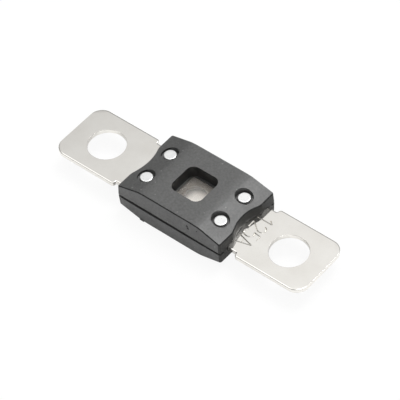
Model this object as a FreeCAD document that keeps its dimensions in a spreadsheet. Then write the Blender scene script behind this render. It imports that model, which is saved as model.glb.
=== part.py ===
import FreeCAD, Part
import math
import os
import Sketcher
from FreeCAD import Placement, Rotation, Vector

# Bolt down strip fuse: a stamped metal strip between two riveted housing shells.
# The origin is the centre of the strip, +X runs along it and +Z is up.

doc = FreeCAD.newDocument("strip_fuse")

# Driving sizes, in millimetres and degrees
SIZES = {
    "hole_pitch": (51.0, "between the two bolt holes"),
    "hole_diameter": (8.8, "clearance hole for an M8 bolt"),
    "end_reach": (8.95, "strip beyond the centre of a bolt hole"),
    "strip_width": (15.9, "across a terminal"),
    "strip_thickness": (1.0, "sheet thickness"),
    "terminal_corner": (3.0, "radius of a terminal's outer corners"),
    "neck_width": (13.9, "strip width between the shoulders"),
    "shoulder_pitch": (33.8, "between the two shoulders"),
    "shoulder_round": (0.6, "outer radius of a shoulder"),
    "shoulder_fillet": (0.35, "inner radius of a shoulder"),
    "waist_radius": (3.0, "side cut beside the melting bridges"),
    "element_hole_diameter": (5.1, "hole between the melting bridges"),
    "shell_length": (28.76, "housing at the parting plane"),
    "shell_width": (18.76, "housing at the parting plane"),
    "shell_height": (4.62, "one shell, parting plane to outer face"),
    "draft_angle": (3.2, "taper of the outer walls"),
    "shell_corner": (0.6, "upright corner radius of a shell"),
    "notch_width": (10.6, "hollow in each end wall"),
    "notch_depth": (1.05, "hollow in each end wall"),
    "notch_lip": (3.5, "convex radius beside the hollow"),
    "flat_length": (16.9, "outer face between the two end bevels"),
    "bevel_angle": (16.7, "slope of an end bevel"),
    "crest_round": (4.0, "radius between outer face and bevel"),
    "rim_chamfer": (0.2, "broken edge round the outer face"),
    "seat_clearance": (0.1, "beside the neck, each side"),
    "chamber_length": (11.2, "hollow round the melting bridges"),
    "chamber_gap": (0.3, "air between strip and window plate"),
    "aperture_size": (8.13, "square window opening"),
    "aperture_corner": (1.8, "corner radius of the opening"),
    "plate_margin": (0.9, "window plate beyond the opening, each side"),
    "plate_thickness": (0.4, "window plate in its seat"),
    "plate_clearance": (0.08, "round the window plate"),
    "ledge_width": (0.45, "ledge in the opening, over the plate's rim"),
    "ledge_thickness": (0.32, "ledge in the opening, over the plate's rim"),
    "ledge_corner": (0.4, "corner radius of the opening in the ledge"),
    "pad_clearance": (0.05, "round the window pad in the ledge"),
    "pad_height": (0.28, "window pad above the plate"),
    "relief_depth": (1.2, "slit along the long sides, inwards"),
    "relief_height": (0.45, "slit at its highest, in one shell"),
    "relief_end": (0.28, "slit at the ends, in one shell"),
    "relief_peak": (6.5, "highest point of the slit, from the middle"),
    "rivet_pitch": (20.64, "between rivets along the strip"),
    "rivet_gauge": (7.98, "between rivets across the strip"),
    "shank_diameter": (2.2, "rivet shank"),
    "head_diameter": (2.9, "rivet head"),
    "head_thickness": (0.8, "rivet head"),
    "head_chamfer": (0.15, "broken edge of a rivet's flat head"),
    "dimple_diameter": (1.3, "hollow in the set end of a rivet"),
    "dimple_depth": (0.45, "hollow in the set end of a rivet"),
    "head_seat": (2.85, "counterbore floor above the parting plane"),
    "counterbore_diameter": (4.1, "round a rivet head"),
    "shank_clearance": (0.1, "round a rivet shank in a shell"),
    "strip_hole_clearance": (0.2, "round a rivet shank in the strip"),
    "nub_length": (1.1, "gate nub along the wall"),
    "nub_height": (0.45, "gate nub up the wall"),
    "nub_proud": (0.14, "gate nub beyond the wall at its base"),
    "nub_place": (8.0, "gate nub from the middle of the housing"),
    "nub_drop": (0.1, "gate nub below the outer face"),
    "cut_margin": (1.0, "how far a cut runs past the surface"),
}

# Places and radii that follow from the driving sizes
PLACES = {
    "strip_length": "sizes.hole_pitch + 2 * sizes.end_reach",
    "half_thickness": "sizes.strip_thickness / 2",
    "hole_x": "sizes.hole_pitch / 2",
    "hole_radius": "sizes.hole_diameter / 2",
    "neck_half": "sizes.neck_width / 2",
    "shoulder_x": "sizes.shoulder_pitch / 2",
    "side_cut_y": "sizes.strip_width / 2 + sizes.cut_margin",
    "element_radius": "sizes.element_hole_diameter / 2",
    "rivet_x": "sizes.rivet_pitch / 2",
    "rivet_y": "sizes.rivet_gauge / 2",
    "shank_radius": "sizes.shank_diameter / 2",
    "strip_hole_radius": "sizes.shank_diameter / 2 + sizes.strip_hole_clearance",
    "shell_hole_radius": "sizes.shank_diameter / 2 + sizes.shank_clearance",
    "counterbore_radius": "sizes.counterbore_diameter / 2",
    "head_radius": "sizes.head_diameter / 2",
    "head_top": "sizes.head_seat + sizes.head_thickness",
    "head_flat_radius": "sizes.head_diameter / 2 - sizes.head_chamfer",
    "head_side_top": "sizes.head_seat + sizes.head_thickness - sizes.head_chamfer",
    "dimple_radius": "sizes.dimple_diameter / 2",
    "dimple_top": "sizes.head_seat + sizes.head_thickness - sizes.dimple_depth",
    "shell_x": "sizes.shell_length / 2",
    "shell_y": "sizes.shell_width / 2",
    "notch_half": "sizes.notch_width / 2",
    "notch_span": "(pow(sizes.notch_width / 2; 2) + pow(sizes.notch_depth; 2)) / (2 * sizes.notch_depth)",
    "notch_radius": "notch_span - sizes.notch_lip",
    "notch_centre": "sizes.shell_length / 2 - sizes.notch_depth + notch_radius",
    "crest_x": "sizes.flat_length / 2 - sizes.crest_round * tan(sizes.bevel_angle / 2 * 1 deg)",
    "crest_z": "sizes.shell_height - sizes.crest_round",
    "past_end": "sizes.shell_length / 2 + sizes.cut_margin",
    "past_top": "sizes.shell_height + sizes.cut_margin",
    "seat_width": "sizes.neck_width + 2 * sizes.seat_clearance",
    "seat_length": "sizes.shell_length + 2 * sizes.cut_margin",
    "chamber_depth": "sizes.strip_thickness / 2 + sizes.chamber_gap",
    "plate_size": "sizes.aperture_size + 2 * sizes.plate_margin",
    "plate_top": "chamber_depth + sizes.plate_thickness",
    "plate_seat_size": "plate_size + 2 * sizes.plate_clearance",
    "ledge_top": "plate_top + sizes.ledge_thickness",
    "sight_size": "sizes.aperture_size - 2 * sizes.ledge_width",
    "pad_size": "sight_size - 2 * sizes.pad_clearance",
    "pad_corner": "sizes.ledge_corner - sizes.pad_clearance",
    "relief_y": "sizes.shell_width / 2 - sizes.relief_depth",
    "wall_lean": "sizes.shell_height * tan(sizes.draft_angle * 1 deg)",
    "nub_base": "sizes.shell_width / 2 - wall_lean - sizes.cut_margin",
    "nub_left": "sizes.nub_place - sizes.nub_length / 2",
    "nub_right": "sizes.nub_place + sizes.nub_length / 2",
    "nub_top": "sizes.shell_height - sizes.nub_drop",
    "nub_bottom": "sizes.shell_height - sizes.nub_drop - sizes.nub_height",
    "nub_pad": "sizes.nub_proud + sizes.cut_margin",
}


def fill_sheet(name, rows):
    """Adds a sheet with one alias for each row of name, cell text and note."""
    sheet = doc.addObject("Spreadsheet::Sheet", name)
    for row, (alias, text, note) in enumerate(rows, start=1):
        sheet.set(f"A{row}", alias)
        sheet.set(f"B{row}", text)
        sheet.setAlias(f"B{row}", alias)
        sheet.set(f"C{row}", note)
    doc.recompute()
    return sheet


size_sheet = fill_sheet("sizes", [(key, str(value), note) for key, (value, note) in SIZES.items()])
place_sheet = fill_sheet("places", [(key, "=" + text, "") for key, text in PLACES.items()])


def size(alias):
    """The present value of a named size or place."""
    sheet = size_sheet if alias in SIZES else place_sheet
    return float(sheet.get(alias))


def cell(alias):
    """The same size or place, as the text of an expression."""
    sheet = "sizes" if alias in SIZES else "places"
    return f"{sheet}.{alias}"


# Sketch helpers

def origin_feature(body, role):
    """One of a body's own origin planes."""
    return next(item for item in body.Origin.OriginFeatures if item.Role == role)


def new_sketch(body, name, plane, lift=None, sign=1):
    """A sketch on an origin plane, lifted along its normal by a named place."""
    sketch = body.newObject("Sketcher::SketchObject", name)
    sketch.AttachmentSupport = [(origin_feature(body, plane), "")]
    sketch.MapMode = "FlatFace"
    if lift:
        formula = cell(lift) if sign > 0 else "-" + cell(lift)
        sketch.setExpression("AttachmentOffset.Base.z", formula)
    return sketch


def dimension(sketch, kind, places, alias):
    """Adds a dimension that always follows a named size."""
    index = sketch.addConstraint(Sketcher.Constraint(kind, *places, size(alias)))
    sketch.setExpression(f"Constraints[{index}]", cell(alias))


def tie(sketch, edge, end, across, up):
    """Ties a point to the origin; each distance is an alias with its side, or None for on the axis."""
    for kind, on_axis, named in (("DistanceX", -2, across), ("DistanceY", -1, up)):
        if named is None:
            sketch.addConstraint(Sketcher.Constraint("PointOnObject", edge, end, on_axis))
            continue
        alias, side = named
        from_origin = (-1, 1, edge, end)
        to_origin = (edge, end, -1, 1)
        dimension(sketch, kind, from_origin if side > 0 else to_origin, alias)


def rounded_rectangle(sketch, length, width, radius):
    """A rectangle with round corners about the origin, from three named sizes."""
    half_x = size(length) / 2
    half_y = size(width) / 2
    round_ = size(radius)
    edges = []
    for quarter in range(4):
        turn = Rotation(Vector(0, 0, 1), 90 * quarter)
        reach, side = (half_x, half_y) if quarter % 2 == 0 else (half_y, half_x)
        start = turn.multVec(Vector(reach, round_ - side, 0))
        end = turn.multVec(Vector(reach, side - round_, 0))
        centre = turn.multVec(Vector(reach - round_, side - round_, 0))
        corner = Part.Circle(centre, Vector(0, 0, 1), round_)
        first = math.radians(90 * quarter)
        edges.append(sketch.addGeometry(Part.LineSegment(start, end)))
        edges.append(sketch.addGeometry(Part.ArcOfCircle(corner, first, first + math.pi / 2)))
    for place, edge in enumerate(edges):
        following = edges[(place + 1) % 8]
        sketch.addConstraint(Sketcher.Constraint("Tangent", edge, 2, following, 1))
    right, top, left, bottom = edges[0], edges[2], edges[4], edges[6]
    sketch.addConstraint(Sketcher.Constraint("Vertical", right))
    sketch.addConstraint(Sketcher.Constraint("Horizontal", top))
    sketch.addConstraint(Sketcher.Constraint("Vertical", left))
    sketch.addConstraint(Sketcher.Constraint("Horizontal", bottom))
    for arc in edges[3::2]:
        sketch.addConstraint(Sketcher.Constraint("Equal", edges[1], arc))
    dimension(sketch, "Radius", (edges[1],), radius)
    dimension(sketch, "DistanceX", (left, 1, right, 1), length)
    dimension(sketch, "DistanceY", (bottom, 1, top, 1), width)
    sketch.addConstraint(Sketcher.Constraint("Symmetric", edges[1], 3, edges[5], 3, -1, 1))


def rectangle(sketch, length, width):
    """A sharp rectangle about the origin."""
    half_x = size(length) / 2
    half_y = size(width) / 2
    corners = [Vector(-half_x, -half_y, 0), Vector(half_x, -half_y, 0),
               Vector(half_x, half_y, 0), Vector(-half_x, half_y, 0)]
    edges = polygon(sketch, corners)
    sketch.addConstraint(Sketcher.Constraint("Horizontal", edges[0]))
    sketch.addConstraint(Sketcher.Constraint("Vertical", edges[1]))
    sketch.addConstraint(Sketcher.Constraint("Horizontal", edges[2]))
    sketch.addConstraint(Sketcher.Constraint("Vertical", edges[3]))
    dimension(sketch, "DistanceX", (edges[0], 1, edges[0], 2), length)
    dimension(sketch, "DistanceY", (edges[1], 1, edges[1], 2), width)
    sketch.addConstraint(Sketcher.Constraint("Symmetric", edges[0], 1, edges[2], 1, -1, 1))


def polygon(sketch, corners):
    """A closed run of straight edges through the corners; gives their numbers."""
    edges = []
    for place, corner in enumerate(corners):
        following = corners[(place + 1) % len(corners)]
        edges.append(sketch.addGeometry(Part.LineSegment(corner, following)))
    for place, edge in enumerate(edges):
        following = edges[(place + 1) % len(edges)]
        sketch.addConstraint(Sketcher.Constraint("Coincident", edge, 2, following, 1))
    return edges


def circle(sketch, across, up, radius):
    """A circle; across and up are as for tie."""
    x = size(across[0]) * across[1] if across else 0
    y = size(up[0]) * up[1] if up else 0
    ring = Part.Circle(Vector(x, y, 0), Vector(0, 0, 1), size(radius))
    edge = sketch.addGeometry(ring)
    tie(sketch, edge, 3, across, up)
    dimension(sketch, "Radius", (edge,), radius)


def four_circles(sketch, radius):
    """One circle on each rivet line."""
    for side_x in (1, -1):
        for side_y in (1, -1):
            circle(sketch, ("rivet_x", side_x), ("rivet_y", side_y), radius)


# Feature helpers

def finish_feature(feature, grows):
    """Recomputes and makes sure that the feature added or removed material."""
    doc.recompute()
    before = feature.BaseFeature.Shape.Volume if feature.BaseFeature else 0.0
    after = feature.Shape.Volume
    if (after > before) != grows or abs(after - before) < 1e-6:
        raise RuntimeError(f"{feature.Label} changed the solid the wrong way")
    return feature


def pad(body, name, sketch, length, taper=None, reverse=False, both_ways=False):
    """Material on a sketch, to a named length."""
    feature = body.newObject("PartDesign::Pad", name)
    feature.Profile = sketch
    feature.SideType = "Symmetric" if both_ways else "One side"
    feature.Reversed = reverse
    feature.setExpression("Length", cell(length))
    if taper:
        feature.setExpression("TaperAngle", "-" + cell(taper))
    return finish_feature(feature, grows=True)


def pocket(body, name, sketch, length=None, reverse=False, both_ways=False):
    """A cut from a sketch, to a named depth or through everything."""
    feature = body.newObject("PartDesign::Pocket", name)
    feature.Profile = sketch
    feature.SideType = "Symmetric" if both_ways else "One side"
    feature.Reversed = reverse
    if length:
        feature.setExpression("Length", cell(length))
    else:
        feature.Type = "ThroughAll"
    return finish_feature(feature, grows=False)


def mirror(body, name, original, plane, grows):
    """A feature, or the whole body where none is given, again across one of the body's planes."""
    feature = body.newObject("PartDesign::Mirrored", name)
    if original:
        feature.Originals = [original]
    else:
        feature.TransformMode = "Whole shape"
    feature.MirrorPlane = (origin_feature(body, plane), [""])
    body.Tip = feature
    return finish_feature(feature, grows)


def fillet(body, name, base, edges, radius):
    """Rounds the listed edges of the base feature."""
    feature = body.newObject("PartDesign::Fillet", name)
    feature.Base = (base, edges)
    feature.setExpression("Radius", cell(radius))
    doc.recompute()
    return feature


def chamfer(body, name, base, edges, width):
    """Breaks the listed edges of the base feature."""
    feature = body.newObject("PartDesign::Chamfer", name)
    feature.Base = (base, edges)
    feature.setExpression("Size", cell(width))
    return finish_feature(feature, grows=False)


def upright_edges(shape, x, y):
    """Names of the straight upright edges that stand at +-x, +-y."""
    names = []
    for number, edge in enumerate(shape.Edges, start=1):
        box = edge.BoundBox
        upright = max(box.XLength, box.YLength) < 1e-4
        if upright and math.hypot(abs(box.Center.x) - x, abs(box.Center.y) - y) < 1e-4:
            names.append(f"Edge{number}")
    return names


def rim_edges(shape):
    """Names of the edges where the outer face and bevels meet the walls."""
    names = []
    for number, edge in enumerate(shape.Edges, start=1):
        rises = []
        for face in shape.ancestorsOfType(edge, Part.Face):
            first_u, last_u, first_v, last_v = face.ParameterRange
            normal = face.normalAt((first_u + last_u) / 2, (first_v + last_v) / 2)
            rises.append(normal.z)
        if len(rises) == 2 and max(rises) > 0.8 and -0.5 < min(rises) < 0.5:
            names.append(f"Edge{number}")
    return names


# Fuse strip: one stamping with both terminals, the neck and the melting bridges

def build_strip():
    body = doc.addObject("PartDesign::Body", "fuse_strip")
    blank = new_sketch(body, "strip_blank", "XY_Plane")
    rounded_rectangle(blank, "strip_length", "strip_width", "terminal_corner")
    pad(body, "strip_sheet", blank, "strip_thickness", both_ways=True)

    side = new_sketch(body, "neck_side", "XY_Plane")
    near, far = size("neck_half"), size("side_cut_y")
    reach = size("shoulder_x")
    edges = polygon(side, [Vector(-reach, near, 0), Vector(reach, near, 0),
                           Vector(reach, far, 0), Vector(-reach, far, 0)])
    tie(side, edges[0], 1, ("shoulder_x", -1), ("neck_half", 1))
    tie(side, edges[1], 1, ("shoulder_x", 1), ("neck_half", 1))
    tie(side, edges[2], 1, ("shoulder_x", 1), ("side_cut_y", 1))
    tie(side, edges[3], 1, ("shoulder_x", -1), ("side_cut_y", 1))
    neck = pocket(body, "neck_cut", side, both_ways=True)
    neck = mirror(body, "neck_cuts", neck, "XZ_Plane", grows=False)

    outer = upright_edges(neck.Shape, size("shoulder_x"), size("strip_width") / 2)
    rounded = fillet(body, "shoulder_rounds", neck, outer, "shoulder_round")
    inner = upright_edges(rounded.Shape, size("shoulder_x"), size("neck_half"))
    fillet(body, "shoulder_fillets", rounded, inner, "shoulder_fillet")

    holes = new_sketch(body, "strip_holes", "XY_Plane")
    for end in (1, -1):
        circle(holes, ("hole_x", end), None, "hole_radius")
        circle(holes, None, ("neck_half", end), "waist_radius")
    circle(holes, None, None, "element_radius")
    four_circles(holes, "strip_hole_radius")
    pocket(body, "stamped_holes", holes, both_ways=True)
    return body


# Housing shell: one moulding, modelled on its parting plane with the outer face up

def shell_outline(sketch):
    """The wall line at the parting plane, with a shallow hollow in each end."""
    x, y = size("shell_x"), size("shell_y")
    corner = size("shell_corner")
    lip, hollow = size("notch_lip"), size("notch_radius")
    half, span = size("notch_half"), size("notch_span")
    lean = math.asin(half / span)
    up = Vector(0, 0, 1)
    run = []

    def line(start, end):
        run.append((sketch.addGeometry(Part.LineSegment(Vector(*start, 0), Vector(*end, 0))), 1, 2))

    def arc(centre, radius, first, last, backwards=False):
        ring = Part.Circle(Vector(*centre, 0), up, radius)
        edge = sketch.addGeometry(Part.ArcOfCircle(ring, first, last))
        run.append((edge, 2, 1) if backwards else (edge, 1, 2))

    quarter = math.pi / 2
    for end in (1, -1):
        turn = 0 if end > 0 else math.pi
        line((end * x, end * (corner - y)), (end * x, -end * half))
        arc((end * (x - lip), -end * half), lip, turn, turn + lean)
        arc((end * size("notch_centre"), 0), hollow, turn + math.pi - lean, turn + math.pi + lean,
            backwards=True)
        arc((end * (x - lip), end * half), lip, turn - lean, turn)
        line((end * x, end * half), (end * x, end * (y - corner)))
        arc((end * (x - corner), end * (y - corner)), corner, turn, turn + quarter)
        line((end * (x - corner), end * y), (end * (corner - x), end * y))
        arc((end * (corner - x), end * (y - corner)), corner, turn + quarter, turn + 2 * quarter)

    for place, (edge, _, leave) in enumerate(run):
        following, enter, _ = run[(place + 1) % len(run)]
        sketch.addConstraint(Sketcher.Constraint("Tangent", edge, leave, following, enter))
    for first in (0, 8):
        numbers = [edge for edge, _, _ in run[first:first + 8]]
        lower, lip_low, scoop, lip_high, upper, corner_high, long_side, corner_far = numbers
        end = 1 if first == 0 else -1
        sketch.addConstraint(Sketcher.Constraint("Vertical", lower))
        sketch.addConstraint(Sketcher.Constraint("Vertical", upper))
        sketch.addConstraint(Sketcher.Constraint("Horizontal", long_side))
        for rounding in (corner_high, corner_far):
            dimension(sketch, "Radius", (rounding,), "shell_corner")
        for rounding in (lip_low, lip_high):
            dimension(sketch, "Radius", (rounding,), "notch_lip")
        dimension(sketch, "Radius", (scoop,), "notch_radius")
        tie(sketch, scoop, 3, ("notch_centre", end), None)
        ends = ((-1, 1, lower, 1), (lower, 1, -1, 1))
        dimension(sketch, "DistanceX", ends[0] if end > 0 else ends[1], "shell_x")
        ends = ((-1, 1, upper, 1), (upper, 1, -1, 1))
        dimension(sketch, "DistanceX", ends[0] if end > 0 else ends[1], "shell_x")
        ends = ((-1, 1, long_side, 1), (long_side, 1, -1, 1))
        dimension(sketch, "DistanceY", ends[0] if end > 0 else ends[1], "shell_y")


def bevel_profile(sketch):
    """What the end bevel takes off, seen from the side, with its rounded crest."""
    angle = math.radians(size("bevel_angle"))
    start = Vector(size("crest_x"), size("shell_height"), 0)
    centre = Vector(size("crest_x"), size("crest_z"), 0)
    crest = Part.Circle(centre, Vector(0, 0, 1), size("crest_round"))
    foot = centre + Vector(math.sin(angle), math.cos(angle), 0) * size("crest_round")
    out_x = size("past_end")
    low = Vector(out_x, foot.y - (out_x - foot.x) * math.tan(angle), 0)
    high = Vector(out_x, size("past_top"), 0)
    back = Vector(start.x, high.y, 0)
    arc = sketch.addGeometry(Part.ArcOfCircle(crest, math.pi / 2 - angle, math.pi / 2))
    slope = sketch.addGeometry(Part.LineSegment(foot, low))
    outer = sketch.addGeometry(Part.LineSegment(low, high))
    top = sketch.addGeometry(Part.LineSegment(high, back))
    inner = sketch.addGeometry(Part.LineSegment(back, start))
    sketch.addConstraint(Sketcher.Constraint("Tangent", arc, 1, slope, 1))
    sketch.addConstraint(Sketcher.Constraint("Coincident", slope, 2, outer, 1))
    sketch.addConstraint(Sketcher.Constraint("Coincident", outer, 2, top, 1))
    sketch.addConstraint(Sketcher.Constraint("Coincident", top, 2, inner, 1))
    sketch.addConstraint(Sketcher.Constraint("Coincident", inner, 2, arc, 2))
    sketch.addConstraint(Sketcher.Constraint("Vertical", outer))
    sketch.addConstraint(Sketcher.Constraint("Horizontal", top))
    sketch.addConstraint(Sketcher.Constraint("Vertical", inner))
    tie(sketch, arc, 3, ("crest_x", 1), ("crest_z", 1))
    dimension(sketch, "DistanceX", (-1, 1, inner, 2), "crest_x")
    dimension(sketch, "DistanceY", (-1, 1, inner, 2), "shell_height")
    dimension(sketch, "DistanceX", (-1, 1, outer, 2), "past_end")
    dimension(sketch, "DistanceY", (-1, 1, outer, 2), "past_top")
    index = sketch.addConstraint(Sketcher.Constraint("Angle", -1, 1, slope, 1, -angle))
    sketch.setExpression(f"Constraints[{index}]", "-sizes.bevel_angle * 1 deg")


def relief_profile(sketch):
    """The slit between the shells along a long side, highest off the middle."""
    left, right = -size("past_end"), size("past_end")
    below = -size("cut_margin")
    end_rise, rise, peak = size("relief_end"), size("relief_height"), -size("relief_peak")

    def flank(reach):
        drop = rise - end_rise
        radius = (reach ** 2 + drop ** 2) / (2 * drop)
        ring = Part.Circle(Vector(peak, rise - radius, 0), Vector(0, 0, 1), radius)
        return ring, math.asin(reach / radius)

    right_ring, right_lean = flank(right - peak)
    left_ring, left_lean = flank(peak - left)
    up = math.pi / 2
    right_arc = sketch.addGeometry(Part.ArcOfCircle(right_ring, up - right_lean, up))
    left_arc = sketch.addGeometry(Part.ArcOfCircle(left_ring, up, up + left_lean))
    corners = [Vector(left, end_rise, 0), Vector(left, below, 0),
               Vector(right, below, 0), Vector(right, end_rise, 0)]
    sides = [sketch.addGeometry(Part.LineSegment(a, b)) for a, b in zip(corners, corners[1:])]
    run = [right_arc, left_arc] + sides
    for place, edge in enumerate(run):
        following = run[(place + 1) % len(run)]
        sketch.addConstraint(Sketcher.Constraint("Coincident", edge, 2, following, 1))
    tie(sketch, right_arc, 2, ("relief_peak", -1), ("relief_height", 1))
    tie(sketch, right_arc, 1, ("past_end", 1), ("relief_end", 1))
    tie(sketch, left_arc, 2, ("past_end", -1), ("relief_end", 1))
    dimension(sketch, "DistanceX", (right_arc, 3, -1, 1), "relief_peak")
    dimension(sketch, "DistanceX", (left_arc, 3, -1, 1), "relief_peak")
    tie(sketch, sides[1], 1, ("past_end", -1), ("cut_margin", -1))
    tie(sketch, sides[1], 2, ("past_end", 1), ("cut_margin", -1))


def turn_over(body):
    """Turns a piece that is modelled outer face up to the underside of the fuse."""
    body.Placement = Placement(Vector(0, 0, 0), Rotation(Vector(1, 0, 0), 180))


def build_shell(name, underneath):
    body = doc.addObject("PartDesign::Body", name)
    outline = new_sketch(body, f"{name}_outline", "XY_Plane")
    shell_outline(outline)
    pad(body, f"{name}_block", outline, "shell_height", taper="draft_angle")

    profile = new_sketch(body, f"{name}_bevel_profile", "XZ_Plane")
    bevel_profile(profile)
    bevel = pocket(body, f"{name}_bevel", profile, both_ways=True)
    bevels = mirror(body, f"{name}_bevels", bevel, "YZ_Plane", grows=False)
    chamfer(body, f"{name}_rim", bevels, rim_edges(bevels.Shape), "rim_chamfer")

    seat = new_sketch(body, f"{name}_strip_seat_line", "XY_Plane")
    rectangle(seat, "seat_length", "seat_width")
    pocket(body, f"{name}_strip_seat", seat, "half_thickness", reverse=True)
    chamber = new_sketch(body, f"{name}_chamber_line", "XY_Plane")
    rectangle(chamber, "chamber_length", "seat_width")
    pocket(body, f"{name}_chamber", chamber, "chamber_depth", reverse=True)
    plate_seat = new_sketch(body, f"{name}_plate_seat_line", "XY_Plane")
    rectangle(plate_seat, "plate_seat_size", "plate_seat_size")
    pocket(body, f"{name}_plate_seat", plate_seat, "plate_top", reverse=True)
    aperture = new_sketch(body, f"{name}_aperture_line", "XY_Plane", lift="ledge_top")
    rounded_rectangle(aperture, "aperture_size", "aperture_size", "aperture_corner")
    pocket(body, f"{name}_aperture", aperture, reverse=True)
    sight = new_sketch(body, f"{name}_sight_line", "XY_Plane")
    rounded_rectangle(sight, "sight_size", "sight_size", "ledge_corner")
    pocket(body, f"{name}_sight_hole", sight, reverse=True)

    shanks = new_sketch(body, f"{name}_shank_holes_line", "XY_Plane")
    four_circles(shanks, "shell_hole_radius")
    pocket(body, f"{name}_shank_holes", shanks, reverse=True)
    bores = new_sketch(body, f"{name}_counterbores_line", "XY_Plane", lift="head_seat")
    four_circles(bores, "counterbore_radius")
    pocket(body, f"{name}_counterbores", bores, reverse=True)

    slit = new_sketch(body, f"{name}_slit_line", "XZ_Plane", lift="relief_y")
    relief_profile(slit)
    relief = pocket(body, f"{name}_slit", slit, reverse=True)
    mirror(body, f"{name}_slits", relief, "XZ_Plane", grows=False)

    if underneath:
        add_gate_nub(body, name)
        turn_over(body)
    return body


def add_gate_nub(body, name):
    """What is left of the moulding gate, on the wall just below the outer face."""
    line = new_sketch(body, f"{name}_nub_line", "XZ_Plane", lift="nub_base", sign=-1)
    left, right = -size("nub_right"), -size("nub_left")
    low, high = size("nub_bottom"), size("nub_top")
    edges = polygon(line, [Vector(left, low, 0), Vector(right, low, 0),
                           Vector(right, high, 0), Vector(left, high, 0)])
    tie(line, edges[0], 1, ("nub_right", -1), ("nub_bottom", 1))
    tie(line, edges[1], 1, ("nub_left", -1), ("nub_bottom", 1))
    tie(line, edges[2], 1, ("nub_left", -1), ("nub_top", 1))
    tie(line, edges[3], 1, ("nub_right", -1), ("nub_top", 1))
    pad(body, f"{name}_nub", line, "nub_pad", reverse=True)


# Window plate: clear, behind the aperture, with a pad that stands up into it

def build_window(name, underneath):
    body = doc.addObject("PartDesign::Body", name)
    plate = new_sketch(body, f"{name}_plate_line", "XY_Plane", lift="chamber_depth")
    rectangle(plate, "plate_size", "plate_size")
    pad(body, f"{name}_plate", plate, "plate_thickness")
    raised = new_sketch(body, f"{name}_pad_line", "XY_Plane", lift="plate_top")
    rounded_rectangle(raised, "pad_size", "pad_size", "pad_corner")
    pad(body, f"{name}_pad", raised, "pad_height")
    if underneath:
        turn_over(body)
    return body


# Rivets: four alike, each with a flat head above and a dimpled set end below

def rivet_profile(sketch):
    """Half of a rivet on its own upright axis, flat head above and set end below."""
    middle = size("rivet_x")
    head, shank = size("head_radius"), size("shank_radius")
    seat, top = size("head_seat"), size("head_top")
    outline = [(0, top), (size("head_flat_radius"), top), (head, size("head_side_top")), (head, seat),
               (shank, seat), (shank, -seat), (head, -seat), (head, -top),
               (size("dimple_radius"), -top), (0, -size("dimple_top"))]
    edges = polygon(sketch, [Vector(middle + out, up, 0) for out, up in outline])
    cap, broken, cap_side, cap_under, stem, set_under, set_side, set_face, hollow, core = edges
    for flat in (cap, cap_under, set_under, set_face):
        sketch.addConstraint(Sketcher.Constraint("Horizontal", flat))
    for upright in (cap_side, stem, set_side, core):
        sketch.addConstraint(Sketcher.Constraint("Vertical", upright))
    tie(sketch, core, 2, ("rivet_x", 1), ("head_top", 1))
    for edge, radius in ((broken, "head_flat_radius"), (cap_side, "head_radius"),
                         (stem, "shank_radius"), (set_side, "head_radius"), (hollow, "dimple_radius")):
        dimension(sketch, "DistanceX", (core, 1, edge, 1), radius)
    dimension(sketch, "DistanceY", (-1, 1, cap_side, 1), "head_side_top")
    dimension(sketch, "DistanceY", (-1, 1, cap_side, 2), "head_seat")
    dimension(sketch, "DistanceY", (set_side, 1, -1, 1), "head_seat")
    dimension(sketch, "DistanceY", (set_side, 2, -1, 1), "head_top")
    dimension(sketch, "DistanceY", (core, 1, -1, 1), "dimple_top")
    axis = sketch.addGeometry(Part.LineSegment(Vector(middle, -seat, 0), Vector(middle, seat, 0)), True)
    sketch.addConstraint(Sketcher.Constraint("Coincident", axis, 1, core, 1))
    sketch.addConstraint(Sketcher.Constraint("Coincident", axis, 2, core, 2))


def build_rivets():
    body = doc.addObject("PartDesign::Body", "rivets")
    profile = new_sketch(body, "rivet_line", "XZ_Plane", lift="rivet_y")
    rivet_profile(profile)
    rivet = body.newObject("PartDesign::Revolution", "rivet")
    rivet.Profile = profile
    rivet.ReferenceAxis = (profile, ["Axis0"])
    rivet.Angle = 360
    finish_feature(rivet, grows=True)
    mirror(body, "rivet_pair", rivet, "XZ_Plane", grows=True)
    mirror(body, "rivet_set", None, "YZ_Plane", grows=True)
    return body


bodies = [
    build_strip(),
    build_shell("upper_shell", underneath=False),
    build_shell("lower_shell", underneath=True),
    build_window("upper_window", underneath=False),
    build_window("lower_window", underneath=True),
    build_rivets(),
]
doc.recompute()

for item in doc.Objects:
    if "Invalid" in item.State or "Error" in item.State:
        raise RuntimeError(f"{item.Label} did not compute")
for body in bodies:
    if body.Shape.isNull() or not body.Shape.isValid():
        raise RuntimeError(f"{body.Label} is not a sound solid")

os.makedirs("parts", exist_ok=True)
for body in bodies:
    body.Shape.exportStep(f"parts/{body.Label}.step")
    print(body.Label, round(body.Shape.Volume, 1), len(body.Shape.Solids), len(body.Shape.Faces))
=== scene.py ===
import math

import bmesh
import bpy
from mathutils import Matrix, Vector


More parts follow.
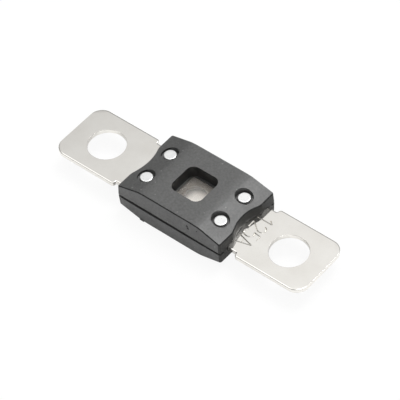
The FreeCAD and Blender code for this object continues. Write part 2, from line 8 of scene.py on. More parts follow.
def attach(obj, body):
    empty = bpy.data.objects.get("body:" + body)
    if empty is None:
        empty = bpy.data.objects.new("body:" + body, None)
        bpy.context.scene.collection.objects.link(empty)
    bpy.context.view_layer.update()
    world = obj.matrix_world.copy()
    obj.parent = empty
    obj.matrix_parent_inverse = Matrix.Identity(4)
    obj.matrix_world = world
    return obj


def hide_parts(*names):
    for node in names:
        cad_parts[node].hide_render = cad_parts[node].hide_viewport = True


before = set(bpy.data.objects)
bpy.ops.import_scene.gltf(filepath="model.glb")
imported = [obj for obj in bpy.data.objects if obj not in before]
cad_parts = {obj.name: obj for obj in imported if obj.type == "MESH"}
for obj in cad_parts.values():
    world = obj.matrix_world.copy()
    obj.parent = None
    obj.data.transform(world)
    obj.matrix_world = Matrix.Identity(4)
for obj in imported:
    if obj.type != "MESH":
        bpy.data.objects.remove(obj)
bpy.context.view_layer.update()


# Fuse strip: one piece of sheet metal, stamped to its outline and holes and then tin plated.
# The die rolls its upper edges over, leaves the lower ones crisp and breaks the hole between the
# melting bridges out wider below. Its ends stay bare as terminals. Its middle is rougher and not
# metallic, and its darker, browner colour there is painted shade.

MM = 0.001
SHEET_TOP = 0.5
OUTLINE_ROLL, HOLE_ROLL, ELEMENT_ROLL = (0.34, 0.16), (0.09, 0.09), (0.03, 0.03)
END_SHARE = 0.15
CRISP_EDGE, BREAK_OUT = (0.05, 0.05), (0.38, 0.38)
ROLL_STEPS, FOOT_STEPS = 8, 2
HOLE_X = 25.5
RIVET_X, RIVET_Y = 10.32, 3.99
BOLT_HOLE, ELEMENT_HOLE, RIVET_HOLE = 4.4, 2.55, 1.3
BOLT_HOLE_STEPS, ELEMENT_HOLE_STEPS, RIVET_HOLE_STEPS = 72, 48, 28
SHEET_CREASE = 18


def arc(centre, radius, first, last, steps, hollow=False):
    """Points of an arc in the sheet's plane, each with the direction that leaves the metal."""
    points = []
    for step in range(steps + 1):
        angle = math.radians(first + (last - first) * step / steps)
        out = Vector((math.cos(angle), math.sin(angle)))
        points.append((Vector(centre) + out * radius, -out if hollow else out))
    return points


def strip_outline():
    """The strip's outer edge, anticlockwise, with its shoulders and the cuts beside the bridges."""
    half_length, half_width, neck = 34.45, 7.95, 6.95
    corner, shoulder, shoulder_round, shoulder_fillet = 3.0, 16.9, 0.6, 0.35
    side_cut, past_mouth = 3.0, -8
    corner_steps, round_steps, fillet_steps, cut_steps = 14, 7, 6, 12
    quarter = arc((half_length - corner, half_width - corner), corner, 0, 90, corner_steps)
    quarter += arc((shoulder + shoulder_round, half_width - shoulder_round), shoulder_round, 90, 180,
                   round_steps)
    quarter += arc((shoulder - shoulder_fillet, neck + shoulder_fillet), shoulder_fillet, 0, -90,
                   fillet_steps, hollow=True)
    quarter.append((Vector((side_cut, neck)), Vector((-1, 1))))
    quarter += arc((0, neck), side_cut, past_mouth, -90, cut_steps, hollow=True)

    def turned(points, across, up):
        run = [(Vector((p.x * across, p.y * up)), Vector((n.x * across, n.y * up))) for p, n in points]
        return run if across * up > 0 else run[::-1]

    loop = []
    for across, up in ((1, 1), (-1, 1), (-1, -1), (1, -1)):
        for point in turned(quarter, across, up):
            if not loop or (loop[-1][0] - point[0]).length > 1e-6:
                loop.append(point)
    return loop


def hole(x, y, radius, steps):
    """A round hole, as points with the direction towards its middle."""
    return arc((x, y), radius, 0, 360, steps, hollow=True)[:-1]


def edge_rings(roll, foot):
    """How far in and at what height each ring of the sheet's edge lies, from the upper face down."""
    rings = []
    for step in range(ROLL_STEPS + 1):
        turn = math.pi / 2 * step / ROLL_STEPS
        rings.append((roll[0] * (1 - math.sin(turn)), SHEET_TOP - roll[1] * (1 - math.cos(turn))))
    if foot is BREAK_OUT:
        return rings + [(0, foot[1] - SHEET_TOP), (foot[0], -SHEET_TOP)]
    for step in range(FOOT_STEPS + 1):
        turn = math.pi / 2 * step / FOOT_STEPS
        rings.append((foot[0] * (1 - math.cos(turn)), -SHEET_TOP + foot[1] * (1 - math.sin(turn))))
    return rings


def stamped_sheet(loops):
    """A closed mesh of the sheet, from the loops of its edge, each with its rings and how much of
    their width is left where the edge runs across the strip."""
    sheet = bmesh.new()
    rims = ([], [])
    for loop, rings, across in loops:
        rows = []
        for inset, height in rings:
            row = []
            for point, out in loop:
                share = across + (1 - across) * abs(out.normalized().y)
                row.append(sheet.verts.new((*((point - out * inset * share) * MM), height * MM)))
            rows.append(row)
        for upper, lower in zip(rows, rows[1:]):
            for here in range(len(loop)):
                after = (here + 1) % len(loop)
                sheet.faces.new((upper[here], upper[after], lower[after], lower[here]))
        for rim, row in zip(rims, (rows[0], rows[-1])):
            rim += [sheet.edges.get((row[here], row[(here + 1) % len(row)])) for here in range(len(row))]
    for rim in rims:
        bmesh.ops.triangle_fill(sheet, edges=rim, use_beauty=True, use_dissolve=False)
    bmesh.ops.recalc_face_normals(sheet, faces=sheet.faces)
    mesh = bpy.data.meshes.new("fuse_strip_sheet")
    sheet.to_mesh(mesh)
    sheet.free()
    return mesh


def new_piece(name, mesh):
    """An object for a mesh, in the scene."""
    piece = bpy.data.objects.new(name, mesh)
    bpy.context.scene.collection.objects.link(piece)
    return piece


def settled(piece):
    """Makes a piece's modifiers part of its mesh and removes them."""
    shown = piece.evaluated_get(bpy.context.evaluated_depsgraph_get())
    mesh = bpy.data.meshes.new_from_object(shown)
    piece.modifiers.clear()
    piece.data = mesh
    return piece


def soften(piece, crease):
    """Shades a piece smooth up to an angle between faces, with its flats kept flat."""
    piece.data.shade_smooth()
    piece.data.set_sharp_from_angle(angle=math.radians(crease))
    flats = piece.modifiers.new("flats", "WEIGHTED_NORMAL")
    flats.keep_sharp = True
    flats.weight = 100
    return settled(piece)


class Finish:
    """A node material on object coordinates, with its shader and a shorthand for its nodes."""

    def __init__(self, name):
        self.material = bpy.data.materials.new(name)
        self.material.use_nodes = True
        self.tree = self.material.node_tree
        self.shader = self.tree.nodes["Principled BSDF"]
        self.place = self.add("ShaderNodeTexCoord").outputs["Object"]

    def add(self, kind, links=None, **values):
        """A node with its properties, its plain inputs and its linked inputs."""
        node = self.tree.nodes.new(kind)
        for key, value in values.items():
            if key in node.inputs:
                node.inputs[key].default_value = value
            else:
                setattr(node, key, value)
        for key, source in (links or {}).items():
            self.tree.links.new(source, node.inputs[key])
        return node

    def stretched(self, scale):
        """Object coordinates, scaled by axis."""
        node = self.add("ShaderNodeMapping", {"Vector": self.place})
        node.inputs["Scale"].default_value = scale
        return node.outputs["Vector"]

    def reach(self, axis):
        """How far a point is from the object's middle along one axis."""
        parts = self.add("ShaderNodeSeparateXYZ", {"Vector": self.place})
        return self.add("ShaderNodeMath", {0: parts.outputs[axis]}, operation="ABSOLUTE").outputs[0]

    def both(self, first, second):
        """Where two masks are both high."""
        return self.add("ShaderNodeMath", {0: first, 1: second}, operation="MULTIPLY").outputs[0]

    def noise(self, scale, detail=3.0, roughness=0.5, place=None):
        """Noise with so many waves to the metre."""
        node = self.add("ShaderNodeTexNoise", {"Vector": place or self.place},
                        Scale=scale, Detail=detail, Roughness=roughness)
        return node.outputs["Fac"]

    def span(self, source, low, high, least=0.3, most=0.7):
        """Stretches a pattern between two values."""
        node = self.add("ShaderNodeMapRange", {"Value": source})
        for key, value in (("From Min", least), ("From Max", most), ("To Min", low), ("To Max", high)):
            node.inputs[key].default_value = value
        return node.outputs["Result"]

    def shades(self, source, dark, light, least=0.3, most=0.7):
        """A pattern as shades between two colours."""
        ramp = self.add("ShaderNodeValToRGB", {"Fac": source})
        ramp.color_ramp.elements[0].position = least
        ramp.color_ramp.elements[0].color = (*dark, 1)
        ramp.color_ramp.elements[1].position = most
        ramp.color_ramp.elements[1].color = (*light, 1)
        return ramp.outputs["Color"]

    def speckled(self, under, over, mask):
        """One colour over another where the mask is high."""
        mix = self.add("ShaderNodeMix", data_type="RGBA")
        self.tree.links.new(mask, mix.inputs[0])
        self.tree.links.new(under, mix.inputs[6])
        mix.inputs[7].default_value = (*over, 1)
        return mix.outputs[2]

    def join(self, socket, source):
        """Leads a pattern to a socket of the shader."""
        self.tree.links.new(source, self.shader.inputs[socket])

    def relief(self, source, depth, under=None):
        """A bump of so many metres from a pattern."""
        node = self.add("ShaderNodeBump", {"Height": source}, Strength=1.0, Distance=depth)
        if under:
            self.tree.links.new(under, node.inputs["Normal"])
        return node.outputs["Normal"]


DULL_PAST = (0.0046, 0.0056)
STRUCK_FROM, STRUCK_PAST = (0.0141, 0.0142), (0.0184, 0.0185)
STRUCK_ASIDE, STRUCK_ABOVE = (0.005, 0.0051), (0.00047, 0.00049)
DULLER, ROUGHER = 0.22, 0.22
PEEL_DEPTH, HAIRLINE_DEPTH = 0.0000015, 0.0000006

plating = Finish("tin_plate")
middle = plating.span(plating.reach("X"), 1.0, 0.0, *DULL_PAST)
plated_colour = plating.shades(plating.noise(160, 4), (0.81, 0.788, 0.745), (0.87, 0.853, 0.812))
struck_length = plating.both(plating.span(plating.reach("X"), 0.0, 1.0, *STRUCK_FROM),
                             plating.span(plating.reach("X"), 1.0, 0.0, *STRUCK_PAST))
struck_width = plating.both(plating.span(plating.reach("Y"), 1.0, 0.0, *STRUCK_ASIDE),
                            plating.span(plating.reach("Z"), 1.0, 0.0, *STRUCK_ABOVE))
struck = plating.both(struck_length, struck_width)
# Painted shade: the middle inside the housing gets a darker, browner colour, besides being rougher and not
# metallic.
shaded_middle = plating.speckled(plated_colour, (0.37, 0.347, 0.315), middle)
# Painted shade: the struck grooves get a slightly darker colour, besides the rougher finish they get below.
plating.join("Base Color", plating.speckled(shaded_middle, (0.76, 0.74, 0.7), struck))
hairlines = plating.noise(1.0, 5, 0.6, plating.stretched((500, 9000, 9000)))
duller = plating.add("ShaderNodeMath", {0: middle, 2: plating.span(hairlines, 0.04, 0.07)},
                     operation="MULTIPLY_ADD")
duller.inputs[1].default_value = DULLER
punched = plating.add("ShaderNodeMath", {0: struck, 2: duller.outputs[0]}, operation="MULTIPLY_ADD")
punched.inputs[1].default_value = ROUGHER
plating.join("Roughness", punched.outputs[0])
plating.join("Metallic", plating.span(middle, 1.0, 0.0, 0.0, 1.0))
orange_peel = plating.relief(plating.noise(900, 2), PEEL_DEPTH)
plating.join("Normal", plating.relief(hairlines, HAIRLINE_DEPTH, under=orange_peel))

punched_edge = edge_rings(HOLE_ROLL, CRISP_EDGE)
strip_loops = [(strip_outline(), edge_rings(OUTLINE_ROLL, CRISP_EDGE), END_SHARE),
               (hole(0, 0, ELEMENT_HOLE, ELEMENT_HOLE_STEPS), edge_rings(ELEMENT_ROLL, BREAK_OUT), 1.0)]
for side in (1, -1):
    strip_loops.append((hole(side * HOLE_X, 0, BOLT_HOLE, BOLT_HOLE_STEPS), punched_edge, END_SHARE))
    for edge in (1, -1):
        strip_loops.append((hole(side * RIVET_X, edge * RIVET_Y, RIVET_HOLE, RIVET_HOLE_STEPS),
                            punched_edge, 1.0))
fuse_strip = new_piece("fuse_strip_plated", stamped_sheet(strip_loops))


# Rating: a plain number of amperes, struck into the right terminal with a sharp punch, so that
# each stroke is a narrow groove with two steep slopes. It reads across the strip, and its
# figures have their feet at the housing.

GLYPH_HEIGHT, GLYPH_WIDTH = 3.8, 2.0
RATING_FOOT = 14.35
RATING_PLACES = (3.6, 1.2, -1.2, -3.6)
PUNCH_RADIUS, PUNCH_LIFT, PUNCH_CORNERS = 0.33, 0.175, 4
RATING = "125A"


def bowl(centre, reach, rise, first, last, steps=26):
    """Points of a rounded stroke in a glyph's own square."""
    run = []
    for step in range(steps + 1):
        angle = math.radians(first + (last - first) * step / steps)
        run.append((centre[0] + reach * math.cos(angle), centre[1] + rise * math.sin(angle)))
    return run


GLYPHS = {
    "1": [[(0.2, 0.76), (0.58, 1.0)], [(0.58, 1.0), (0.58, 0.0)]],
    "2": [bowl((0.5, 0.72), 0.46, 0.28, 165, -35), [(0.877, 0.56), (0.04, 0.0)], [(0.04, 0.0), (0.98, 0.0)]],
    "5": [[(0.9, 1.0), (0.2, 1.0)], [(0.2, 1.0), (0.12, 0.56)], bowl((0.47, 0.33), 0.48, 0.33, 136, -150)],
    "A": [[(0.0, 0.0), (0.5, 1.0)], [(0.5, 1.0), (1.0, 0.0)], [(0.2, 0.38), (0.8, 0.38)]],
}


def struck_lines():
    """The lines along which the punch's centre runs, above the strip's upper face."""
    lines = bpy.data.curves.new("rating_lines", "CURVE")
    lines.dimensions = "3D"
    lines.twist_mode = "Z_UP"
    for glyph, middle in zip(RATING, RATING_PLACES):
        for stroke in GLYPHS[glyph]:
            spline = lines.splines.new("POLY")
            spline.points.add(len(stroke) - 1)
            for point, (right, up) in zip(spline.points, stroke):
                x = RATING_FOOT + up * GLYPH_HEIGHT
                y = middle - (right - 0.5) * GLYPH_WIDTH
                point.co = (x * MM, y * MM, (SHEET_TOP + PUNCH_LIFT) * MM, 1)
    return new_piece("rating_lines", lines)


def named_inputs(tree, names):
    """Adds named inputs to a tree, and gives each one's identifier."""
    sockets = {}
    for name, kind in names:
        sockets[name] = tree.interface.new_socket(name, in_out="INPUT", socket_type=kind).identifier
    return sockets


def new_tree(name, inputs):
    """An empty geometry tree with its group input and output."""
    tree = bpy.data.node_groups.new(name, "GeometryNodeTree")
    tree.interface.new_socket("Geometry", in_out="INPUT", socket_type="NodeSocketGeometry")
    sockets = named_inputs(tree, inputs)
    tree.interface.new_socket("Geometry", in_out="OUTPUT", socket_type="NodeSocketGeometry")
    return tree, sockets, tree.nodes.new("NodeGroupInput"), tree.nodes.new("NodeGroupOutput")


def finish_tree(tree, geometry, out, material):
    """Ends a tree in real mesh with one material."""
    real = tree.nodes.new("GeometryNodeRealizeInstances")
    coat = tree.nodes.new("GeometryNodeSetMaterial")
    coat.inputs["Material"].default_value = material
    tree.links.new(geometry, real.inputs["Geometry"])
    tree.links.new(real.outputs["Geometry"], coat.inputs["Geometry"])
    tree.links.new(coat.outputs["Geometry"], out.inputs["Geometry"])


def run_tree(piece, tree, values):
    """Runs a tree on a piece with its inputs set by identifier, and keeps the mesh."""
    step = piece.modifiers.new(tree.name, "NODES")
    step.node_group = tree
    for identifier, value in values:
        step[identifier] = value
    return settled(piece)


def strike_tree():
    """Sweeps a four-cornered punch, one corner down, along the lines and takes it out of the sheet."""
    tree, sockets, given, out = new_tree("strike_rating", (
        ("Lines", "NodeSocketObject"), ("Punch Radius", "NodeSocketFloat")))
    lines = tree.nodes.new("GeometryNodeObjectInfo")
    punch = tree.nodes.new("GeometryNodeCurvePrimitiveCircle")
    punch.inputs["Resolution"].default_value = PUNCH_CORNERS
    sweep = tree.nodes.new("GeometryNodeCurveToMesh")
    sweep.inputs["Fill Caps"].default_value = True
    cut = tree.nodes.new("GeometryNodeMeshBoolean")
    cut.operation = "DIFFERENCE"
    cut.solver = "EXACT"
    cut.inputs["Self Intersection"].default_value = True
    tree.links.new(given.outputs["Lines"], lines.inputs["Object"])
    tree.links.new(given.outputs["Punch Radius"], punch.inputs["Radius"])
    tree.links.new(lines.outputs["Geometry"], sweep.inputs["Curve"])
    tree.links.new(punch.outputs["Curve"], sweep.inputs["Profile Curve"])
    tree.links.new(given.outputs["Geometry"], cut.inputs["Mesh 1"])
    tree.links.new(sweep.outputs["Mesh"], cut.inputs["Mesh 2"])
    finish_tree(tree, cut.outputs["Mesh"], out, plating.material)
    return tree, sockets


rating_lines = struck_lines()
strike, strike_inputs = strike_tree()
run_tree(fuse_strip, strike, (
    (strike_inputs["Lines"], rating_lines),
    (strike_inputs["Punch Radius"], PUNCH_RADIUS * MM),
))
bpy.data.objects.remove(rating_lines)
soften(fuse_strip, SHEET_CREASE)
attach(fuse_strip, "root")
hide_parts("fuse_strip")


# Housing: two black moulded shells of glass filled plastic, alike, that meet on the strip's
# middle plane. Their faces have the fine grain of a spark eroded mould and sink slightly towards
# the bevels. Their edge rounds and rims are smoother and darker, and their window wells and end
# walls darker and less shiny; both darker colours are painted shade.

WELD, FLAT_WITHIN = 0.0005, 0.4
EDGE_SLOT, SHADED_WALL_SLOT = 1, 2
EDGE_ROUND, EDGE_STEPS, EDGE_ANGLE = 0.07, 2, 32
MOULDED_CREASE = 34
WALL_FOOT, DRAFT = 9.38, 3.2
RIM_SLOPE, UPRIGHT = (0.5, 0.85), 0.3
END_WALL, WINDOW_WELL = 11.5, 4.4
OUTER_PART = 3.0
SINKING = ((5.9, 0.0), (7.86, 0.07), (9.01, -0.0187), (14.4, -0.0187))
SINK_STEPS = 4
CAVITY_MARKS = ((5.35, 3.1, 0.3), (5.55, 2.5, 0.28), (8.0, 3.25, 0.2))
PITTING_DEPTH, GRAIN_DEPTH = 0.00003, 0.000014

grain = Finish("moulded_housing")
fine_grain = grain.noise(4200, 3, 0.6)
specks = grain.add("ShaderNodeTexVoronoi", {"Vector": grain.place}, Scale=850)
speck_pick = grain.add("ShaderNodeSeparateColor", {"Color": specks.outputs["Color"]})
speck_size = grain.span(speck_pick.outputs["Red"], 0.02, 0.18, 0.45, 1.0)
near_speck = grain.add("ShaderNodeMath", {0: specks.outputs["Distance"], 1: speck_size},
                       operation="LESS_THAN")
patches = grain.noise(260, 3, 0.5)
body_colour = grain.shades(grain.noise(1900, 4, 0.65), (0.04, 0.04, 0.039), (0.08, 0.081, 0.079))
grain.shader.inputs["Specular IOR Level"].default_value = 0.81
grain.join("Base Color", grain.speckled(body_colour, (0.14, 0.14, 0.137), near_speck.outputs[0]))
grain.join("Roughness", grain.span(patches, 0.43, 0.5))
pitting = grain.relief(grain.noise(1700, 3, 0.6), PITTING_DEPTH)
grain.join("Normal", grain.relief(fine_grain, GRAIN_DEPTH, under=pitting))

# Painted shade: the end walls and window wells get a darker, less shiny plastic than the faces.
shaded_wall = Finish("moulded_housing_wall_painted_shade")
shaded_wall.shader.inputs["Specular IOR Level"].default_value = 0.3
shaded_wall.join("Base Color", shaded_wall.shades(shaded_wall.noise(1900, 4, 0.65), (0.02, 0.02, 0.019),
                                                (0.03, 0.03, 0.029)))
shaded_wall.join("Roughness", shaded_wall.span(shaded_wall.noise(260, 3, 0.5), 0.43, 0.5))
shaded_wall.join("Normal", shaded_wall.relief(shaded_wall.noise(4200, 3, 0.6), GRAIN_DEPTH))

# Edge rounds and rim chamfers: a smoother plastic, with a darker colour that is painted shade.
edge_shine_and_shade = Finish("moulded_housing_edge_shine_and_shade")
edge_shine_and_shade.shader.inputs["Specular IOR Level"].default_value = 0.35
edge_shine_and_shade.join("Base Color", edge_shine_and_shade.shades(edge_shine_and_shade.noise(3800, 3, 0.6), (0.012, 0.012, 0.012),
                                                (0.06, 0.06, 0.058), 0.5, 0.8))
edge_shine_and_shade.join("Roughness", edge_shine_and_shade.span(edge_shine_and_shade.noise(2600, 2), 0.25, 0.35))


def merged_copy(node, name):
    """A CAD node's mesh as a new piece, with its loose triangles joined and its flats whole."""
    joined = bmesh.new()
    joined.from_mesh(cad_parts[node].data)
    bmesh.ops.remove_doubles(joined, verts=joined.verts, dist=WELD * MM)
    bmesh.ops.dissolve_limit(joined, angle_limit=math.radians(FLAT_WITHIN), verts=joined.verts,
                             edges=joined.edges)
    mesh = bpy.data.meshes.new(name)
    joined.to_mesh(mesh)
    joined.free()
    return new_piece(name, mesh)


def round_edges(piece, width, steps, slot):
    """Rounds every crisp edge of a piece; the round gets the material of that slot."""
    bevel = piece.modifiers.new("moulded_edges", "BEVEL")
    bevel.limit_method = "ANGLE"
    bevel.angle_limit = math.radians(EDGE_ANGLE)
    bevel.width = width * MM
    bevel.segments = steps
    bevel.material = slot
    bevel.use_clamp_overlap = True
    bevel.miter_outer = "MITER_ARC"
    return settled(piece)


def sunk(reach):
    """How far the outer face has sunk so far from the middle, from its slope at some places."""
    depth = 0.0
    for (start, first), (end, last) in zip(SINKING, SINKING[1:]):
        run = min(max(reach - start, 0.0), end - start)
        depth += run * first + run * run * (last - first) / (end - start) / 2
    return depth


def shrunk(piece):
    """Lets a shell's outer face sink a little towards its bevels, as a moulding does when it cools."""
    shape = bmesh.new()
    shape.from_mesh(piece.data)
    first, last = SINKING[0][0], SINKING[1][0]
    for step in range(SINK_STEPS):
        for side in (1, -1):
            cut = side * (first + (last - first) * step / SINK_STEPS)
            outer = [face for face in shape.faces
                     if max(abs(vert.co.z) for vert in face.verts) > OUTER_PART * MM]
            edges = {edge for face in outer for edge in face.edges}
            verts = {vert for face in outer for vert in face.verts}
            bmesh.ops.bisect_plane(shape, geom=outer + list(edges) + list(verts), dist=WELD * MM,
                                   plane_co=(cut * MM, 0, 0), plane_no=(1, 0, 0))
    for vert in shape.verts:
        if abs(vert.co.z) > OUTER_PART * MM:
            vert.co.z -= math.copysign(sunk(abs(vert.co.x) / MM) * MM, vert.co.z)
    shape.to_mesh(piece.data)
    shape.free()


def share_out(piece):
    """Gives a shell's narrow rims the smoother edge plastic, darker as painted shade, and its end walls and
    window well the darker wall plastic, which is painted shade.
    """
    for face in piece.data.polygons:
        out, place = face.normal, [abs(reach) / MM for reach in face.center]
        if RIM_SLOPE[0] < abs(out.z) < RIM_SLOPE[1]:
            face.material_index = EDGE_SLOT
        elif abs(out.z) < UPRIGHT and (place[0] > END_WALL or max(place[:2]) < WINDOW_WELL):
            face.material_index = SHADED_WALL_SLOT


def marked(piece, marks):
    """Presses small round marks of the mould into the front wall of a piece."""
    for x, z, radius in marks:
        y = z * math.tan(math.radians(DRAFT)) - WALL_FOOT + radius / 3
        ball = bmesh.new()
        bmesh.ops.create_uvsphere(ball, u_segments=20, v_segments=12, radius=radius * MM,
                                  matrix=Matrix.Translation(Vector((x, y, z)) * MM))
        mesh = bpy.data.meshes.new("mark")
        ball.to_mesh(mesh)
        ball.free()
        mark = new_piece("mark", mesh)
        cut = piece.modifiers.new("mark", "BOOLEAN")
        cut.operation = "DIFFERENCE"
        cut.object = mark
        settled(piece)
        bpy.data.objects.remove(mark)


for node in ("upper_shell", "lower_shell"):
    shell = merged_copy(node, f"{node}_moulding")
    shell.data.materials.clear()
    for plastic in (grain, edge_shine_and_shade, shaded_wall):
        shell.data.materials.append(plastic.material)
    shrunk(shell)
    share_out(shell)
    round_edges(shell, EDGE_ROUND, EDGE_STEPS, EDGE_SLOT)
    if node == "upper_shell":
        marked(shell, CAVITY_MARKS)
    soften(shell, MOULDED_CREASE)
    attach(shell, "root")
    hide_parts(node)


# Window plates: moulded plastic, one held in its seat behind each square opening, with a pad
# that stands up into it. The upper one is clear, to keep the element in sight, and the lower
# one frosted, so that daylight from below fills the element's hole evenly.

PLATE_EDGE, PLATE_STEPS, PLATE_SLOT = 0.1, 3, 0
PLATE_IOR = 1.49

clear = Finish("window_plastic")
clear.shader.inputs["Transmission Weight"].default_value = 0.91
clear.shader.inputs["IOR"].default_value = PLATE_IOR
clear.join("Base Color", clear.shades(clear.noise(300, 2), (0.95, 0.92, 0.88), (1.0, 0.975, 0.94)))
clear.join("Roughness", clear.span(clear.noise(1500, 3), 0.02, 0.04))
frosted = Finish("frosted_window_plastic")
frosted.shader.inputs["Transmission Weight"].default_value = 1.0
frosted.shader.inputs["IOR"].default_value = PLATE_IOR
frosted.join("Base Color", frosted.shades(frosted.noise(300, 2), (1.0, 0.95, 0.9), (1.0, 0.98, 0.94)))
frosted.join("Roughness", frosted.span(frosted.noise(1500, 3), 0.38, 0.46))

for node, plastic in (("upper_window", clear), ("lower_window", frosted)):
    plate = merged_copy(node, f"{node}_plate")
    plate.data.materials.clear()
    plate.data.materials.append(plastic.material)
    round_edges(plate, PLATE_EDGE, PLATE_STEPS, PLATE_SLOT)
    soften(plate, MOULDED_CREASE)
    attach(plate, "root")
    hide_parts(node)


# Rivets: four aluminium rivets clamp the shells over the strip, each dropped into its bore from
# above, with a flat head, and set below with a dimpled punch.

HEAD_RADIUS, SHANK_RADIUS = 1.45, 1.1
HEAD_SEAT, HEAD_TOP = 2.85, 3.65
DIMPLE_RADIUS, DIMPLE_DEPTH = 0.65, 0.45
HEAD_EDGE = 0.14
HEAD_STEPS, DIMPLE_STEPS, TURNING_STEPS = 4, 5, 48
RIVET_CREASE, RIVET_SEED = 40, 3
SATIN_DEPTH = 0.0000002

bright = Finish("rivet_metal")
bright.shader.inputs["Metallic"].default_value = 1.0
bright.join("Base Color", bright.shades(bright.noise(900, 3), (0.77, 0.775, 0.77), (0.82, 0.82, 0.815)))
bright.join("Roughness", bright.span(bright.noise(2500, 3), 0.27, 0.31))
bright.join("Normal", bright.relief(bright.noise(3500, 3), SATIN_DEPTH))


def rivet_profile():
    """Half of a rivet's outline, from the middle of its flat head down to its dimple."""
    def rounded(radius, height, first, last):
        run = []
        for step in range(HEAD_STEPS + 1):
            angle = math.radians(first + (last - first) * step / HEAD_STEPS)
            run.append((radius - HEAD_EDGE * (1 - math.cos(angle)), height + HEAD_EDGE * math.sin(angle)))
        return run

    run = [(0.0, HEAD_TOP), (HEAD_RADIUS - 2 * HEAD_EDGE, HEAD_TOP)]
    run += rounded(HEAD_RADIUS, HEAD_TOP - HEAD_EDGE, 90, 0)
    run += [(HEAD_RADIUS, HEAD_SEAT), (SHANK_RADIUS, HEAD_SEAT), (SHANK_RADIUS, -HEAD_SEAT),
            (HEAD_RADIUS, -HEAD_SEAT)]
    run += rounded(HEAD_RADIUS, -HEAD_TOP + HEAD_EDGE, 0, -90)
    for step in range(DIMPLE_STEPS + 1):
        reach = 1 - step / DIMPLE_STEPS
        run.append((DIMPLE_RADIUS * reach, -HEAD_TOP + DIMPLE_DEPTH * (1 - reach ** 2)))
    return run


def turned_rivet():
    """One rivet about its own upright axis."""
    lathe = bmesh.new()
    points = [lathe.verts.new((out * MM, 0, up * MM)) for out, up in rivet_profile()]
    lines = [lathe.edges.new(pair) for pair in zip(points, points[1:])]
    bmesh.ops.spin(lathe, geom=points + lines, cent=(0, 0, 0), axis=(0, 0, 1), angle=2 * math.pi,
                   steps=TURNING_STEPS, use_merge=True)
    bmesh.ops.remove_doubles(lathe, verts=lathe.verts, dist=WELD * MM)
    bmesh.ops.recalc_face_normals(lathe, faces=lathe.faces)
    mesh = bpy.data.meshes.new("rivet_blank")
    lathe.to_mesh(mesh)
    lathe.free()
    return new_piece("rivet_blank", mesh)


def rivet_tree():
    """Sets one rivet on each point, turned a little differently by a fixed seed."""
    tree, sockets, given, out = new_tree("set_rivets", (
        ("Rivet", "NodeSocketObject"), ("Seed", "NodeSocketInt")))
    blank = tree.nodes.new("GeometryNodeObjectInfo")
    blank.inputs["As Instance"].default_value = True
    points = tree.nodes.new("GeometryNodeMeshToPoints")
    turn = tree.nodes.new("FunctionNodeRandomValue")
    turn.data_type = "FLOAT_VECTOR"
    turn.inputs[0].default_value = (0, 0, 0)
    turn.inputs[1].default_value = (0, 0, 2 * math.pi)
    place = tree.nodes.new("GeometryNodeInstanceOnPoints")
    tree.links.new(given.outputs["Rivet"], blank.inputs["Object"])
    tree.links.new(given.outputs["Seed"], turn.inputs["Seed"])
    tree.links.new(given.outputs["Geometry"], points.inputs["Mesh"])
    tree.links.new(points.outputs["Points"], place.inputs["Points"])
    tree.links.new(blank.outputs["Geometry"], place.inputs["Instance"])
    tree.links.new(turn.outputs["Value"], place.inputs["Rotation"])
    finish_tree(tree, place.outputs["Instances"], out, bright.material)
    return tree, sockets


centres = bpy.data.meshes.new("rivet_centres")
centres.from_pydata([(x * RIVET_X * MM, y * RIVET_Y * MM, 0) for x in (1, -1) for y in (1, -1)], [], [])
rivets = new_piece("rivets_set", centres)
blank = turned_rivet()
riveting, rivet_inputs = rivet_tree()
run_tree(rivets, riveting, ((rivet_inputs["Rivet"], blank), (rivet_inputs["Seed"], RIVET_SEED)))
bpy.data.objects.remove(blank)
soften(rivets, RIVET_CREASE)
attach(rivets, "root")
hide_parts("rivets")


# Floor: a plain white sheet that the fuse lies on. It shows white to the camera and through
# the windows, dimmer in reflections, and still takes the fuse's soft shadow.

FLOOR_GLOW, MIRRORED_GLOW = 0.9, 0.3
FLOOR_REACH, FLOOR_LEVEL = 1.5, -4.63

floor_paint = Finish("white_floor")
floor_paint.shader.inputs["Base Color"].default_value = (0.97, 0.97, 0.97, 1)
floor_paint.shader.inputs["Roughness"].default_value = 0.9
floor_paint.shader.inputs["Specular IOR Level"].default_value = 0.0
rays = floor_paint.add("ShaderNodeLightPath")
seen = floor_paint.add("ShaderNodeMath", {
    0: rays.outputs["Is Camera Ray"], 1: rays.outputs["Is Transmission Ray"]}, operation="MAXIMUM")
mirrored = floor_paint.add("ShaderNodeMath", {0: rays.outputs["Is Glossy Ray"]}, operation="MULTIPLY")
mirrored.inputs[1].default_value = MIRRORED_GLOW
glow_share = floor_paint.add("ShaderNodeMath", {0: seen.outputs[0], 2: mirrored.outputs[0]},
                             operation="MULTIPLY_ADD")
glow_share.inputs[1].default_value = FLOOR_GLOW
glow = floor_paint.add("ShaderNodeEmission", Strength=1.0)
mixed = floor_paint.add("ShaderNodeMixShader", {0: glow_share.outputs[0],
                                                1: floor_paint.shader.outputs[0], 2: glow.outputs[0]})
floor_paint.tree.links.new(mixed.outputs[0], floor_paint.tree.nodes["Material Output"].inputs["Surface"])

floor_mesh = bpy.data.meshes.new("floor")
floor_mesh.from_pydata([(x * FLOOR_REACH, y * FLOOR_REACH, FLOOR_LEVEL * MM)
                        for x, y in ((-1, -1), (1, -1), (1, 1), (-1, 1))], [], [(0, 1, 2, 3)])
floor_mesh.materials.append(floor_paint.material)
new_piece("floor", floor_mesh)


# Studio: a pale room with a large soft box overhead and behind, fainter ones to its sides and
# weak ones low all round, in the world's light. Each has an azimuth, a rise, the angles from its
# middle to its full core and its outer edge, and a strength. The camera sees the room as white.

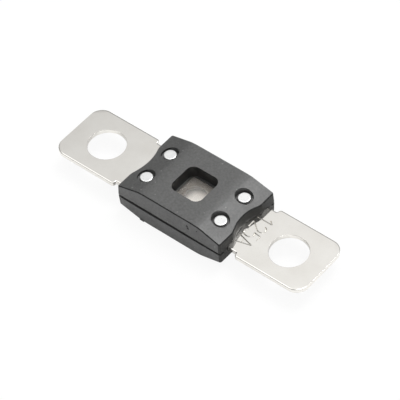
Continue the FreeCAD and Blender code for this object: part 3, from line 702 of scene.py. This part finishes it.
SKY_BASE = 0.28
SOFT_BOXES = (
    (88, 66, 4, 21, 7.3),
    (120, 64, 2, 30, 0.8),
    (200, 64, 2, 20, 0.9),
    (168, 60, 0, 16, 0.6),
    (330, 60, 0, 34, 1.0),
    (190, 12, 0, 34, 0.3),
    (240, 12, 0, 34, 0.2),
    (270, 20, 0, 40, 0.24),
    (320, 30, 0, 40, 0.2),
    (15, 20, 0, 40, 0.2),
    (34, 27, 0, 20, 0.6),
    (90, 10, 0, 34, 0.22),
)

world = bpy.data.worlds.new("studio")
bpy.context.scene.world = world
world.use_nodes = True
room = world.node_tree
room.nodes.clear()
way = room.nodes.new("ShaderNodeTexCoord").outputs["Generated"]
level = None
for azimuth, rise, inner, outer, strength in SOFT_BOXES:
    a, e = math.radians(azimuth), math.radians(rise)
    facing = room.nodes.new("ShaderNodeVectorMath")
    facing.operation = "DOT_PRODUCT"
    facing.inputs[1].default_value = (math.cos(a) * math.cos(e), math.sin(a) * math.cos(e), math.sin(e))
    room.links.new(way, facing.inputs[0])
    fade = room.nodes.new("ShaderNodeMapRange")
    fade.interpolation_type = "SMOOTHSTEP"
    fade.inputs["From Min"].default_value = math.cos(math.radians(outer))
    fade.inputs["From Max"].default_value = math.cos(math.radians(inner))
    fade.inputs["To Max"].default_value = strength
    room.links.new(facing.outputs["Value"], fade.inputs["Value"])
    total = room.nodes.new("ShaderNodeMath")
    total.inputs[1].default_value = SKY_BASE
    if level:
        room.links.new(level, total.inputs[1])
    room.links.new(fade.outputs["Result"], total.inputs[0])
    level = total.outputs[0]
light = room.nodes.new("ShaderNodeBackground")
light.inputs["Color"].default_value = (1, 1, 1, 1)
room.links.new(level, light.inputs["Strength"])
backdrop = room.nodes.new("ShaderNodeBackground")
backdrop.inputs["Color"].default_value = (1, 1, 1, 1)
sight = room.nodes.new("ShaderNodeMixShader")
room.links.new(room.nodes.new("ShaderNodeLightPath").outputs["Is Camera Ray"], sight.inputs[0])
room.links.new(light.outputs[0], sight.inputs[1])
room.links.new(backdrop.outputs[0], sight.inputs[2])
room.links.new(sight.outputs[0], room.nodes.new("ShaderNodeOutputWorld").inputs["Surface"])


# Camera: a long lens from the front right, half way up, with the slight tilt of the photograph.
# Its place and lens follow from the 51 mm between the bolt holes as they lie in the picture.

AZIMUTH, RISE, ROLL = 43.547, 48.898, -5.283
DISTANCE, SIDEWAYS, UPWARDS = 512.133, 0.793, -0.496
SENSOR_WIDTH, FOCAL_LENGTH, NEAR = 36, 213.9, 0.01

azimuth, rise, roll = (math.radians(angle) for angle in (AZIMUTH, RISE, ROLL))
back = Vector((math.sin(azimuth) * math.cos(rise), -math.cos(azimuth) * math.cos(rise), math.sin(rise)))
right = Vector((math.cos(azimuth), math.sin(azimuth), 0))
up = back.cross(right)
place = (DISTANCE * back + SIDEWAYS * right + UPWARDS * up) * MM
tilted_right = math.cos(roll) * right + math.sin(roll) * up
tilted_up = -math.sin(roll) * right + math.cos(roll) * up
turn = Matrix((tilted_right, tilted_up, back)).transposed().to_4x4()
lens = bpy.data.cameras.new("camera")
lens.sensor_width = SENSOR_WIDTH
lens.lens = FOCAL_LENGTH
lens.clip_start = NEAR
camera = bpy.data.objects.new("camera", lens)
camera.matrix_world = Matrix.Translation(place) @ turn
bpy.context.scene.collection.objects.link(camera)
bpy.context.scene.camera = camera
bpy.context.scene.view_settings.view_transform = "Standard"
